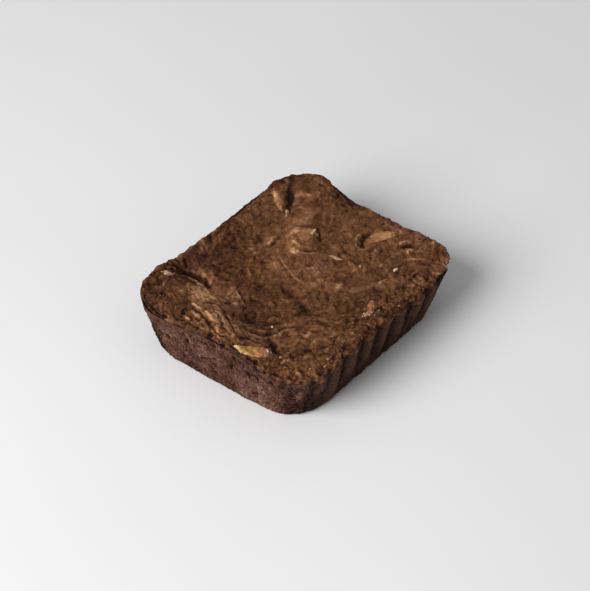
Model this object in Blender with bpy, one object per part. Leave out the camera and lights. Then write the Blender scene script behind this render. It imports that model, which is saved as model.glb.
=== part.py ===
"""A chocolate brownie baked in a fluted tin, with pieces of nut set in its crust.

The cake is one solid: a flat base with a rounded edge, fluted walls that lean outwards, a rolled rim and
an uneven, sunken top. Each piece of nut is a solid of its own, in a pocket cut a little larger than it.
Metres, +Z up. +X runs along the long side, and the origin is under the middle of the brownie.
"""

import math

import bmesh
import bpy
from mathutils import Matrix, Vector, noise
from mathutils.geometry import delaunay_2d_cdt

# Plan of the rim and of the base
TOP_LENGTH = 0.0962
TOP_WIDTH = 0.0830
TOP_CORNER = 0.0148
BASE_CORNER = 0.0180
LEAN_LEFT = 0.0023
LEAN_RIGHT = 0.0043
LEAN_FAR = 0.0038
LEAN_NEAR = 0.0039

# Heights and edges
RIM_HEIGHT = 0.0197
BASE_ROUNDING = 0.0022
BASE_ROUNDING_STEPS = (0, 35, 90)
RIM_ROUNDING = 0.0016
RIM_ROUNDING_STEPS = (0, 50, 90)
MIDDLE_RING_SHARE = 0.55
SHARP_EDGE = 40

# The tin's flutes: how many lie along an end, a side and a corner
FLUTES_ON_END = 6
FLUTES_ON_SIDE = 7
FLUTES_ON_CORNER = 3
POINTS_PER_FLUTE = 6
FLUTE_DEPTH = 0.0008
LEFT_END_FLUTE_SHARE = 0.35
RIM_FLUTE_LOSS = 0.4

# Unevenness of the baked surface
WALL_WOBBLE = 0.0004
WALL_WOBBLE_SIZE = 0.009
TOP_WOBBLE = 0.0005
TOP_WOBBLE_SIZE = 0.007

# Swells (+) and hollows (-) of the top: middle x and y, half length, half width, turn in degrees,
# height, and steepness (1 is a soft mound, 2 has a flat top and steep flanks)
RELIEF = {
    "left_end_crest": (-0.0450, -0.0010, 0.0150, 0.0070, 90, 0.0040, 1),
    "near_side_crest": (-0.0120, -0.0400, 0.0225, 0.0075, 0, 0.0037, 1),
    "left_corner_lump": (-0.0360, 0.0385, 0.0100, 0.0075, 15, 0.0034, 1),
    "far_side_crest": (0.0050, 0.0420, 0.0260, 0.0050, 0, 0.0005, 1),
    "right_end_crest": (0.0470, -0.0040, 0.0140, 0.0050, 90, 0.0006, 1),
    "far_corner_peak": (0.0440, 0.0285, 0.0110, 0.0115, 0, 0.0037, 2),
    "right_corner_swell": (0.0420, -0.0330, 0.0120, 0.0090, 0, 0.0010, 1),
    "left_ridge": (-0.0355, 0.0140, 0.0150, 0.0042, 70, 0.0017, 1),
    "small_dome": (-0.0178, 0.0295, 0.0038, 0.0032, 0, 0.0014, 1),
    "centre_swell": (0.0170, 0.0120, 0.0095, 0.0075, 30, 0.0016, 1),
    "fold_step": (0.0080, 0.0060, 0.0090, 0.0080, 60, 0.0009, 2),
    "sunken_middle": (-0.0130, 0.0120, 0.0190, 0.0135, -50, -0.0036, 1),
    "sunken_right": (0.0200, -0.0120, 0.0200, 0.0130, 0, -0.0012, 1),
    "crevice": (-0.0215, 0.0290, 0.0068, 0.0020, 92, -0.0034, 1),
    "left_hollow": (-0.0265, 0.0000, 0.0060, 0.0042, 80, -0.0017, 1),
    "slanting_valley": (-0.0045, 0.0010, 0.0085, 0.0025, 52, -0.0011, 1),
    "far_corner_hollow": (0.0350, 0.0310, 0.0045, 0.0022, 40, -0.0026, 1),
    "nut_side_hollow": (-0.0355, -0.0180, 0.0022, 0.0018, 0, -0.0018, 1),
}

# Pieces of nut: middle x and y, length, width, thickness, turn in degrees, how far it stands out, seed
NUTS = {
    "nut_left_end": (-0.0418, -0.0132, 0.0150, 0.0056, 0.0050, -63, 0.0009, 1),
    "nut_near_side": (0.0018, -0.0319, 0.0126, 0.0044, 0.0036, 23, 0.0008, 2),
    "nut_right_end": (0.0378, -0.0096, 0.0130, 0.0056, 0.0040, -30, 0.0009, 3),
    "nut_far_corner": (0.0297, 0.0332, 0.0134, 0.0036, 0.0050, 54, 0.0011, 4),
    "nut_middle": (0.0204, 0.0104, 0.0110, 0.0084, 0.0050, 5, 0.0012, 5),
    "nut_left_corner": (-0.0284, 0.0360, 0.0086, 0.0044, 0.0036, -30, 0.0008, 6),
}
NUT_DETAIL = 3
NUT_LUMPS = 0.16
NUT_LUMP_SIZE = 0.77
NUT_TAPER = 0.25
POCKET_GAP = 0.0003

# How the mesh is made
TOP_NET = 0.0026
BASE_SEARCH_STEPS = 12
MERGE_DISTANCE = 0.00001

CRUST_COLOUR = (0.105, 0.048, 0.022, 1)
CRUST_ROUGHNESS = 0.75
NUT_COLOUR = (0.330, 0.170, 0.070, 1)
NUT_ROUGHNESS = 0.6


def clear_scene():
    """Starts from a scene with nothing in it."""
    for thing in list(bpy.data.objects):
        bpy.data.objects.remove(thing)


def make_material(name, colour, roughness):
    """A plain material with the piece's own colour."""
    material = bpy.data.materials.new(name)
    material.use_nodes = True
    shader = material.node_tree.nodes["Principled BSDF"]
    shader.inputs["Base Color"].default_value = colour
    shader.inputs["Roughness"].default_value = roughness
    shader.inputs["Metallic"].default_value = 0.0
    return material


def add_object(name, mesh, material=None):
    """Puts a mesh into the scene as a named object."""
    thing = bpy.data.objects.new(name, mesh)
    bpy.context.scene.collection.objects.link(thing)
    if material:
        mesh.materials.append(material)
    return thing


def rim_outline():
    """Walks once round the rim's rounded rectangle, counter-clockwise from its right end.

    Each step gives the point, the outward direction and how deep in a flute's groove it lies, 0 to 1.
    """
    steps = []
    for quarter in range(4):
        on_end = quarter % 2 == 0
        across, along = (TOP_LENGTH, TOP_WIDTH) if on_end else (TOP_WIDTH, TOP_LENGTH)
        flutes = FLUTES_ON_END if on_end else FLUTES_ON_SIDE
        turn = Matrix.Rotation(math.radians(90 * quarter), 2)
        straight = along - 2 * TOP_CORNER
        count = flutes * POINTS_PER_FLUTE
        for i in range(count):
            share = i / count
            groove = 1 - abs(math.sin(math.pi * share * flutes))
            point = Vector((across / 2, (share - 0.5) * straight))
            steps.append((turn @ point, turn @ Vector((1, 0)), groove))
        middle = Vector((across / 2 - TOP_CORNER, straight / 2))
        count = FLUTES_ON_CORNER * POINTS_PER_FLUTE
        for i in range(count):
            share = i / count
            groove = 1 - abs(math.sin(math.pi * share * FLUTES_ON_CORNER))
            outward = Vector((math.cos(math.pi / 2 * share), math.sin(math.pi / 2 * share)))
            steps.append((turn @ (middle + TOP_CORNER * outward), turn @ outward, groove))
    return steps


def rounded_distance(point, centre, length, width, corner):
    """How far a point of the plan lies outside a rounded rectangle; inside it the answer is below zero."""
    x = abs(point.x - centre.x) - length / 2 + corner
    y = abs(point.y - centre.y) - width / 2 + corner
    outside = Vector((max(x, 0), max(y, 0))).length
    return outside + min(max(x, y), 0) - corner


def base_under(point, outward):
    """Steps straight in from a point of the rim until it meets the base's outline, so that flutes run true."""
    centre = Vector((LEAN_LEFT - LEAN_RIGHT, LEAN_NEAR - LEAN_FAR)) / 2
    length = TOP_LENGTH - LEAN_LEFT - LEAN_RIGHT
    width = TOP_WIDTH - LEAN_FAR - LEAN_NEAR
    found = point.copy()
    for _ in range(BASE_SEARCH_STEPS):
        found -= outward * rounded_distance(found, centre, length, width, BASE_CORNER)
    return found


def top_height(x, y):
    """Height of the top above the base: the rim's level with every swell and hollow added."""
    height = RIM_HEIGHT
    for middle_x, middle_y, half_length, half_width, turn, rise, steepness in RELIEF.values():
        cos_turn = math.cos(math.radians(turn))
        sin_turn = math.sin(math.radians(turn))
        along = ((x - middle_x) * cos_turn + (y - middle_y) * sin_turn) / half_length
        across = ((y - middle_y) * cos_turn - (x - middle_x) * sin_turn) / half_width
        height += rise * math.exp(-0.5 * (along**2 + across**2) ** steepness)
    wobble = noise.noise(Vector((x, y, 0)) / TOP_WOBBLE_SIZE)
    return height + TOP_WOBBLE * wobble


def flute_share(outward):
    """The left end's crumb is rough and nearly hides its flutes."""
    facing_left = max(0.0, -outward.x)
    return 1 - (1 - LEFT_END_FLUTE_SHARE) * facing_left**2


def wall_ring(rim, height_share, inset, lift):
    """One ring of points round the wall, height_share of the way from the base to the rim's own height.

    The ring is moved in by inset and up by lift, and the flutes and the wobble are cut into it.
    """
    ring = []
    for point, outward, groove in rim:
        plan = base_under(point, outward).lerp(point, height_share)
        height = top_height(point.x, point.y) * height_share + lift
        wobble = noise.noise(Vector((plan.x, plan.y, height)) / WALL_WOBBLE_SIZE)
        share = flute_share(outward) * (1 - RIM_FLUTE_LOSS * height_share**3)
        depth = groove * FLUTE_DEPTH * share + WALL_WOBBLE * wobble + inset
        ring.append((plan - outward * depth).to_3d() + Vector((0, 0, height)))
    return ring


def join_rings(mesh, lower, upper):
    """A band of squares between two rings of the wall."""
    for i in range(len(lower)):
        after = (i + 1) % len(lower)
        mesh.faces.new((lower[i], lower[after], upper[after], upper[i]))


def fill_top(mesh, edge):
    """Closes the top inside its edge with an even net of triangles, raised to the top's own height."""
    points = [vert.co.to_2d() for vert in edge]
    boundary = [(i, (i + 1) % len(edge)) for i in range(len(edge))]
    row_gap = TOP_NET * math.sqrt(3) / 2
    rows = int(TOP_WIDTH / 2 / row_gap)
    columns = int(TOP_LENGTH / 2 / TOP_NET)
    for row in range(-rows, rows + 1):
        for column in range(-columns, columns + 1):
            point = Vector(((column + 0.5 * (row % 2)) * TOP_NET, row * row_gap))
            clear_of_rim = -rounded_distance(point, Vector((0, 0)), TOP_LENGTH, TOP_WIDTH, TOP_CORNER)
            if clear_of_rim > RIM_ROUNDING + TOP_NET:
                points.append(point)
    plan, _, faces, sources, _, _ = delaunay_2d_cdt(points, boundary, [], 1, MERGE_DISTANCE)
    verts = []
    for point, source in zip(plan, sources):
        if source[0] < len(edge):
            verts.append(edge[source[0]])
        else:
            verts.append(mesh.verts.new((point.x, point.y, top_height(point.x, point.y))))
    for face in faces:
        mesh.faces.new([verts[i] for i in face])


def make_brownie(material):
    """The cake, as rings from the base up the wall and over the rim, closed by its top."""
    rim = rim_outline()
    rings = []
    for turn in BASE_ROUNDING_STEPS:
        angle = math.radians(turn)
        inset = BASE_ROUNDING * (1 - math.sin(angle))
        lift = BASE_ROUNDING * (1 - math.cos(angle))
        rings.append(wall_ring(rim, 0, inset, lift))
    rings.append(wall_ring(rim, MIDDLE_RING_SHARE, 0, 0))
    for turn in RIM_ROUNDING_STEPS:
        angle = math.radians(turn)
        inset = RIM_ROUNDING * (1 - math.cos(angle))
        lift = RIM_ROUNDING * (math.sin(angle) - 1)
        rings.append(wall_ring(rim, 1, inset, lift))

    mesh = bmesh.new()
    loops = [[mesh.verts.new(point) for point in ring] for ring in rings]
    for lower, upper in zip(loops, loops[1:]):
        join_rings(mesh, lower, upper)
    mesh.faces.new(list(reversed(loops[0])))
    fill_top(mesh, loops[-1])
    bmesh.ops.triangulate(mesh, faces=mesh.faces)
    data = bpy.data.meshes.new("brownie")
    mesh.to_mesh(data)
    mesh.free()
    data.shade_smooth()
    data.set_sharp_from_angle(angle=math.radians(SHARP_EDGE))
    return add_object("brownie", data, material)


def nut_mesh(name, length, width, thickness, seed, margin):
    """A broken, lumpy piece of nut round the origin, its long way along X, grown by margin."""
    mesh = bmesh.new()
    bmesh.ops.create_icosphere(mesh, subdivisions=NUT_DETAIL, radius=1)
    for vert in mesh.verts:
        direction = vert.co.normalized()
        lump = noise.noise(direction / NUT_LUMP_SIZE + Vector((seed * 7, seed * 2, 0)))
        taper = 1 - NUT_TAPER * direction.x * (1 if seed % 2 else -1)
        reach = 1 + NUT_LUMPS * lump
        vert.co = Vector(
            (
                direction.x * reach * length / 2,
                direction.y * reach * taper * width / 2,
                direction.z * reach * thickness / 2,
            )
        )
    mesh.normal_update()
    grown = [vert.co + vert.normal * margin for vert in mesh.verts]
    for vert, point in zip(mesh.verts, grown):
        vert.co = point
    data = bpy.data.meshes.new(name)
    mesh.to_mesh(data)
    mesh.free()
    data.shade_smooth()
    return data


def set_nut(name, brownie, material):
    """Places one piece of nut in the crust and cuts its pocket out of the cake."""
    x, y, length, width, thickness, turn, stands_out, seed = NUTS[name]
    height = top_height(x, y) + stands_out - thickness / 2
    nut = add_object(name, nut_mesh(name, length, width, thickness, seed, 0), material)
    pocket_name = "pocket_of_" + name
    pocket_mesh = nut_mesh(pocket_name, length, width, thickness, seed, POCKET_GAP)
    pocket = add_object(pocket_name, pocket_mesh)
    for thing in (nut, pocket):
        thing.location = (x, y, height)
        thing.rotation_euler = (0, 0, math.radians(turn))
    pocket.hide_render = True
    pocket.display_type = "WIRE"
    cut = brownie.modifiers.new(pocket_name, "BOOLEAN")
    cut.operation = "DIFFERENCE"
    cut.solver = "EXACT"
    cut.object = pocket


def centre_over_origin(cake, things):
    """Moves everything sideways until the middle of the cake's box is over the origin."""
    corners = [Vector(corner) for corner in cake.bound_box]
    middle = sum(corners, Vector()) / len(corners)
    for thing in things:
        thing.location -= Vector((middle.x, middle.y, 0))


clear_scene()
crust = make_material("crust", CRUST_COLOUR, CRUST_ROUGHNESS)
nut_meat = make_material("nut_meat", NUT_COLOUR, NUT_ROUGHNESS)
cake = make_brownie(crust)
for nut_name in NUTS:
    set_nut(nut_name, cake, nut_meat)
centre_over_origin(cake, bpy.data.objects)
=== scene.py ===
"""A single brownie with pieces of nut: its crumb, crust and nuts, finished round its solid model."""

import math

import bpy
import numpy as np
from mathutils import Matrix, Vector, noise
from mathutils.bvhtree import BVHTree


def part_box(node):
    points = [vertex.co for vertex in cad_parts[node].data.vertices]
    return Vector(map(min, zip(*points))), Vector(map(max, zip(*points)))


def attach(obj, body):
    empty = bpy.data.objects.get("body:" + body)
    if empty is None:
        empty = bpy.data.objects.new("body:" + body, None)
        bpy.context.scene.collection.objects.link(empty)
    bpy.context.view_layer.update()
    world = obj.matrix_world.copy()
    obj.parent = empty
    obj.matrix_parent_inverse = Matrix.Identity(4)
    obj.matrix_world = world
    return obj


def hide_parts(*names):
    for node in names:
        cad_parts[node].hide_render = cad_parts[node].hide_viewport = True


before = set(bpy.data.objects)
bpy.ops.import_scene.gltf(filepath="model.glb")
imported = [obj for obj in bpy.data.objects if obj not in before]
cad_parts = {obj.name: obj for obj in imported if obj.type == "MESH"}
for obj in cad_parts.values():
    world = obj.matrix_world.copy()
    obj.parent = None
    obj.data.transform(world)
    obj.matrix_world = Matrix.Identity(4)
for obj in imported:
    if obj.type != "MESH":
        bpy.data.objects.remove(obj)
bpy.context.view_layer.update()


# ---------------------------------------------------------------------------------------------------------
# THE CRUMB
# The body of the cake is dark, moist, porous chocolate crumb. It was baked in a fluted loaf tin, so its
# leaning walls keep the tin's ribs; at the left end it tore a little as it came out, and is rough there.

MM = 0.001
DOWN = Vector((0, 0, -1))

# Sizes of the crumb, in metres; what has COLUMNS, ROWS, SMOOTHING or SPREAD in its name counts mesh steps
CRUMB_COLUMNS = 1120
CRUMB_ROWS = 60
RIM_CORNER = 0.0148
RIM_ROUNDING = 0.0016
BASE_ROUNDING = 0.0022
CRUMB_BELOW_RIM = 0.0009
CRUMB_SMOOTHING = 1.6
REACH = 0.006
FLUTE_SPREAD = 22
FLUTE_GAIN_LOW = -0.55
FLUTE_GAIN_HIGH = 1.5
RIBS = ((0.0034, 0.00045), (0.0016, 0.00028))
RIB_LENGTH = 0.016
UNDERCUT = 0.0015
UNDERCUT_WIDTH = 0.009
PIT_GAP = 0.0018
PIT_DEPTH = 0.0007
JUST_INSIDE = 0.0004
RIM_SMOOTHING = 4
WEIGHT_STEPS = 20
CALM_AT_BASE = 0.0010
CALM_AT_RIM = 0.0022
TONE_DEPTH = 0.0008
# Where painted shade darkens the left end near its corner: its place across the end and its width
CORNER_SHADE_PLACE = 0.028
CORNER_SHADE_WIDTH = 0.013
LID_HEIGHT = 0.0120
LID_SIZE = 0.95

# Heights on the wall between which a change comes about: the flutes and the undercut grow upwards, and the
# painted shade near the left corner and the painted shade at the wall's foot grow downwards
FLUTES_GROW = (0.004, 0.015)
UNDERCUT_GROWS = (0.004, 0.017)
CORNER_SHADE_GROWS = (0.015, 0.005)
FOOT_SHADE_GROWS = (0.012, 0.004)

# Holes where bits of crumb stayed in the tin, in millimetres: where each begins and ends, radius and depth
GOUGES = [
    ((-46.2, 2.2, 23.2), (-47.9, -0.4, 20.4), 1, 1.4), ((-45.7, -18, 21.8), (-47.9, -20.2, 19.6), 0.8, 1.5),
    ((-47.5, -15.5, 15.2), (-47.5, -15.9, 14.2), 0.9, 1),
    ((-47.1, -7.3, 14.1), (-47.1, -7.6, 13.6), 0.6, 0.9),
    ((-47.6, -9.6, 19.8), (-47.6, -9.9, 19), 0.6, 0.9),
    ((-47.4, -19.4, 15.9), (-47.4, -19.9, 15.2), 0.6, 0.9),
    ((-47.5, -4.6, 22.8), (-47.7, -4.2, 21.8), 0.7, 1.1), ((-46, -16.5, 5.4), (-46.3, -19.8, 7.5), 0.4, 0.7),
    ((-47.9, 12, 16), (-47.9, 12.6, 14), 0.8, 1), ((-47, 22, 12), (-47, 22, 11), 0.8, 0.9),
    ((-47.3, 6, 10), (-47.3, 6.4, 9.4), 0.7, 0.8), ((-47.6, -26.5, 17.5), (-47.4, -27.4, 16), 0.8, 1),
]


def deselect():
    """Leaves edit mode and drops the selection, so that an operator acts on new things only."""
    if bpy.context.object and bpy.context.object.mode != "OBJECT":
        bpy.ops.object.mode_set(mode="OBJECT")
    bpy.ops.object.select_all(action="DESELECT")


def select_in_mesh(piece, domain, chosen):
    """Selects the vertices, edges or faces of a mesh that are true in chosen, and enters edit mode."""
    bpy.ops.object.mode_set(mode="EDIT")
    bpy.ops.mesh.select_mode(type={"vertices": "VERT", "edges": "EDGE", "polygons": "FACE"}[domain])
    bpy.ops.mesh.select_all(action="DESELECT")
    bpy.ops.object.mode_set(mode="OBJECT")
    getattr(piece.data, domain).foreach_set("select", np.asarray(chosen, dtype=bool))
    bpy.ops.object.mode_set(mode="EDIT")


def points_of(piece, kind="co"):
    """The places of a mesh's vertices, one row each, or their outward directions if kind is "normal"."""
    flat = np.empty(len(piece.data.vertices) * 3, dtype=np.float32)
    piece.data.vertices.foreach_get(kind, flat)
    return flat.reshape(-1, 3).astype(float)


def place_points(piece, points):
    """Moves a mesh's vertices."""
    piece.data.vertices.foreach_set("co", points.astype(np.float32).ravel())
    piece.data.update()


def rays_onto(piece):
    """A mesh made ready for rays to be cast onto it."""
    return BVHTree.FromObject(piece, bpy.context.evaluated_depsgraph_get())


def store(piece, name, values):
    """Keeps one number for each vertex, which the material reads."""
    layer = piece.data.attributes.new(name, "FLOAT", "POINT")
    layer.data.foreach_set("value", np.asarray(values, dtype=np.float32))


def smooth_step(start, end, value):
    """Goes smoothly from 0 at start to 1 at end."""
    share = np.clip((value - start) / (end - start), 0, 1)
    return share * share * (3 - 2 * share)


def bell(value, power=2):
    """1 at zero and falling to nothing on both sides; the higher the power, the flatter its top."""
    return np.exp(-(np.abs(value) ** power))


def blur_round(values, width):
    """Smooths a closed row of values; width is the spread, in steps."""
    steps = np.arange(len(values))
    steps = np.minimum(steps, len(values) - steps)
    weights = np.exp(-0.5 * (steps / width) ** 2)
    spectrum = np.fft.fft(values, axis=0) * np.fft.fft(weights / weights.sum())[:, None]
    return np.real(np.fft.ifft(spectrum, axis=0))


def gouged(places):
    """How deep the gouges are at each place, in millimetres."""
    depth = np.zeros(len(places))
    for start, end, radius, deepest in GOUGES:
        start = np.array(start)
        step = np.array(end) - start
        gap = places / MM - start
        share = np.clip(gap @ step / (step @ step), 0, 1)
        distance = np.linalg.norm(gap - share[:, None] * step, axis=1)
        depth = np.maximum(depth, deepest * bell(distance / radius, 3))
    return depth


cake_low, cake_high = [Vector(corner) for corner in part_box("brownie")]
half_length = (cake_high.x - cake_low.x) / 2
half_width = (cake_high.y - cake_low.y) / 2
end_straight = half_width - RIM_CORNER
side_straight = half_length - RIM_CORNER
corner_arc = RIM_CORNER * math.pi / 2
end_walk = 2 * end_straight + corner_arc
side_walk = 2 * side_straight + corner_arc
whole_walk = 2 * (end_walk + side_walk)
solid_cake = rays_onto(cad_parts["brownie"])


def walk_outline(walked):
    """Walks counter-clockwise round the rim from the middle of the right end.

    Gives, for each distance walked, the point of the rounded outline and its outward direction.
    """
    legs = [0, end_straight] + [corner_arc, 2 * side_straight, corner_arc, 2 * end_straight] * 2
    legs = legs[:-1] + [end_straight]
    stops = np.cumsum(legs)
    turns = np.interp(walked, stops, np.radians([0, 0, 90, 90, 180, 180, 270, 270, 360, 360]))
    along_x = np.array([1, 1, 1, -1, -1, -1, -1, 1, 1, 1]) * side_straight
    along_y = np.array([0, 1, 1, 1, 1, -1, -1, -1, -1, 0]) * end_straight
    outward = np.stack([np.cos(turns), np.sin(turns)], axis=1)
    centres = np.stack([np.interp(walked, stops, along_x), np.interp(walked, stops, along_y)], axis=1)
    return centres + RIM_CORNER * outward, outward


def solid_top(x, y):
    """Height of the solid's top over a point of the plan."""
    place = solid_cake.ray_cast(Vector((x, y, cake_high.z + REACH)), DOWN)[0]
    return place.z if place else None


def solid_wall(point, outward, height):
    """How far the solid's wall lies inside the outline at one place and height."""
    start = Vector((*(point + REACH * outward), height))
    distance = solid_cake.ray_cast(start, Vector((-outward[0], -outward[1], 0)))[3]
    return distance - REACH if distance is not None else None


walked = np.arange(CRUMB_COLUMNS) / CRUMB_COLUMNS * whole_walk
outline, outline_out = walk_outline(walked)
rim_heights = []
for point, outward in zip(outline, outline_out):
    inside = point - outward * (RIM_ROUNDING + JUST_INSIDE)
    height = solid_top(*inside)
    rim_heights.append(height if height else rim_heights[-1])
rim_heights = blur_round(np.array(rim_heights)[:, None], RIM_SMOOTHING)[:, 0]

deselect()
bpy.ops.mesh.primitive_cylinder_add(
    vertices=CRUMB_COLUMNS, radius=half_length, depth=cake_high.z, location=(0, 0, cake_high.z / 2)
)
crumb = bpy.context.object
crumb.name = "brownie_crumb"
bpy.ops.object.transform_apply()
ends = np.empty(len(crumb.data.edges) * 2, dtype=np.int32)
crumb.data.edges.foreach_get("vertices", ends)
ends = ends.reshape(-1, 2)
heights = points_of(crumb)[:, 2]
select_in_mesh(crumb, "edges", np.abs(heights[ends[:, 0]] - heights[ends[:, 1]]) > cake_high.z / 2)
bpy.ops.mesh.subdivide(number_cuts=CRUMB_ROWS - 1)
bpy.ops.object.mode_set(mode="OBJECT")

places = points_of(crumb)
turns = np.arctan2(places[:, 1], places[:, 0]) % (2 * math.pi)
columns = np.round(turns / (2 * math.pi) * CRUMB_COLUMNS).astype(int) % CRUMB_COLUMNS
rows = np.round(places[:, 2] / cake_high.z * CRUMB_ROWS).astype(int)
insets = np.zeros((CRUMB_ROWS + 1, CRUMB_COLUMNS))
levels = np.outer(np.arange(CRUMB_ROWS + 1) / CRUMB_ROWS, rim_heights - CRUMB_BELOW_RIM)
top_of_straight_wall = rim_heights - RIM_ROUNDING
for row in range(CRUMB_ROWS + 1):
    for column in range(CRUMB_COLUMNS):
        height = min(max(levels[row, column], BASE_ROUNDING), top_of_straight_wall[column])
        found = solid_wall(outline[column], outline_out[column], height)
        insets[row, column] = found if found is not None else insets[row - 1, column]
insets = blur_round(insets.T, CRUMB_SMOOTHING).T
flutes = insets - blur_round(insets.T, FLUTE_SPREAD).T
moulded = 1 - smooth_step(0.3, 0.9, -outline_out[:, 0])
toward_top = smooth_step(*FLUTES_GROW, levels)
on_near_side = smooth_step(0.45, 0.95, -outline_out[:, 1])
insets += (FLUTE_GAIN_LOW + (FLUTE_GAIN_HIGH - FLUTE_GAIN_LOW) * toward_top * on_near_side) * flutes
for rib_width, rib_depth in RIBS:
    ribs = [
        noise.noise((x / rib_width, y / rib_width, z / RIB_LENGTH))
        for z in levels.mean(axis=1)
        for x, y in outline
    ]
    insets += rib_depth * (0.35 + 0.65 * moulded) * np.array(ribs).reshape(insets.shape)
below = np.clip(1 - levels / BASE_ROUNDING, 0, 1)
insets += BASE_ROUNDING * (1 - np.sqrt(1 - below**2)) * (0.55 + 0.45 * moulded)
wall_insets = insets[-1].copy()
hollows = insets - blur_round(insets.T, FLUTE_SPREAD).T
past_right_corner = (walked - (whole_walk - end_straight - 0.6 * corner_arc)) / UNDERCUT_WIDTH
undercut = bell(past_right_corner)
insets += UNDERCUT * undercut * smooth_step(*UNDERCUT_GROWS, levels)
plan = outline[columns] - outline_out[columns] * insets[rows, columns][:, None]
place_points(crumb, np.column_stack([plan, levels[rows, columns]]))


def displace(piece, name, kind, size, strength, group="", **settings):
    """Pushes a surface in and out with a procedural pattern, and keeps the result in the mesh."""
    pattern = bpy.data.textures.new(name, kind)
    pattern.noise_scale = size
    for setting, value in settings.items():
        setattr(pattern, setting, value)
    push = piece.modifiers.new(name, "DISPLACE")
    push.texture = pattern
    push.texture_coords = "LOCAL"
    push.strength = strength
    push.vertex_group = group
    bpy.context.view_layer.objects.active = piece
    bpy.ops.object.modifier_apply(modifier=name)


def weigh(piece, name, weights):
    """A vertex group that holds how strongly a modifier works at each vertex."""
    group = piece.vertex_groups.new(name=name)
    steps = np.round(np.clip(weights, 0, 1) * WEIGHT_STEPS).astype(int)
    for step in range(1, WEIGHT_STEPS + 1):
        chosen = np.nonzero(steps == step)[0].tolist()
        if chosen:
            group.add(chosen, step / WEIGHT_STEPS, "REPLACE")


smooth_places = points_of(crumb)
smooth_normals = points_of(crumb, "normal")
room = (rim_heights[columns] - smooth_places[:, 2]) / CALM_AT_RIM
clear_of_ends = np.clip(smooth_places[:, 2] / CALM_AT_BASE, 0, 1) * np.clip(room - 0.2, 0, 1)
torn = smooth_step(0.2, 0.9, -outline_out[columns][:, 0])
weigh(crumb, "wall", clear_of_ends * (0.55 + 0.45 * torn))
weigh(crumb, "torn_wall", clear_of_ends * torn)
displace(crumb, "crumb_swells", "CLOUDS", 0.0075, 0.0007, "torn_wall")
displace(crumb, "crumb_lumps", "CLOUDS", 0.0030, 0.0008, "wall")
displace(crumb, "crumb_grain", "CLOUDS", 0.0009, 0.0004, "wall", noise_depth=2)
displace(crumb, "crumb_beads", "VORONOI", 0.0010, 0.0003, "wall")
displace(crumb, "crumb_tears", "STUCCI", 0.0012, 0.0004, "torn_wall", turbulence=6)
pitting = []
for spot in (smooth_places / PIT_GAP).tolist():
    distances, middles = noise.voronoi(spot)
    pitting.append(max(noise.cell(middles[0] * 1.7), 0) * float(smooth_step(0.36, 0.12, distances[0])))
pitting = np.array(pitting) * clear_of_ends * (0.3 + 0.7 * torn)
gouges = gouged(smooth_places)
place_points(crumb, points_of(crumb) - smooth_normals * (PIT_DEPTH * pitting + MM * gouges)[:, None])
# Painted shade: the wall's colour darkens where its surface sinks, in flute valleys, pits and gouges
crumb_depth = ((points_of(crumb) - smooth_places) * smooth_normals).sum(axis=1)
shade_in_flutes = hollows[rows, columns] * (0.9 + 0.5 * torn) / TONE_DEPTH
wall_tone_and_shade = crumb_depth / TONE_DEPTH - np.clip(shade_in_flutes, -0.6, 0.6)
# Painted shade on the left end near its corner, low down, where the window light falls most
painted_corner_shade = bell((smooth_places[:, 1] - CORNER_SHADE_PLACE) / CORNER_SHADE_WIDTH)
painted_corner_shade *= smooth_step(*CORNER_SHADE_GROWS, smooth_places[:, 2])
painted_corner_shade *= smooth_step(0.1, 0.7, -outline_out[columns][:, 0])
# The torn end is a little lighter; painted shade darkens the left corner and the foot of the wall
wall_tone_and_shade += 0.12 * torn - 0.55 * painted_corner_shade - 0.18 * smooth_step(*FOOT_SHADE_GROWS, smooth_places[:, 2])
# Stored for the colour: the wall's tone, with painted shade in its hollows, pits and gouges
store(crumb, "relief", wall_tone_and_shade - 0.9 * pitting - 0.3 * gouges)
store(crumb, "torn", torn)

top_face = [len(face.vertices) > 4 and face.center.z > cake_high.z / 2 for face in crumb.data.polygons]
select_in_mesh(crumb, "polygons", top_face)
bpy.ops.mesh.extrude_region_move(TRANSFORM_OT_translate={"value": (0, 0, -MM)})
bpy.ops.transform.resize(value=(LID_SIZE, LID_SIZE, 0))
bpy.ops.object.mode_set(mode="OBJECT")
places = points_of(crumb)
lid = np.zeros(len(places), dtype=bool)
for face in crumb.data.polygons:
    if len(face.vertices) > 4 and face.center.z > MM:
        lid[list(face.vertices)] = True
places[lid, 2] = LID_HEIGHT
place_points(crumb, places)
crumb.data.shade_smooth()


def paint(red, green, blue):
    """A colour as it looks on a screen, 0 to 255, turned into light."""
    shown = [value / 255 for value in (red, green, blue)]
    light = [value / 12.92 if value <= 0.04045 else ((value + 0.055) / 1.055) ** 2.4 for value in shown]
    return (*light, 1)


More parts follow.
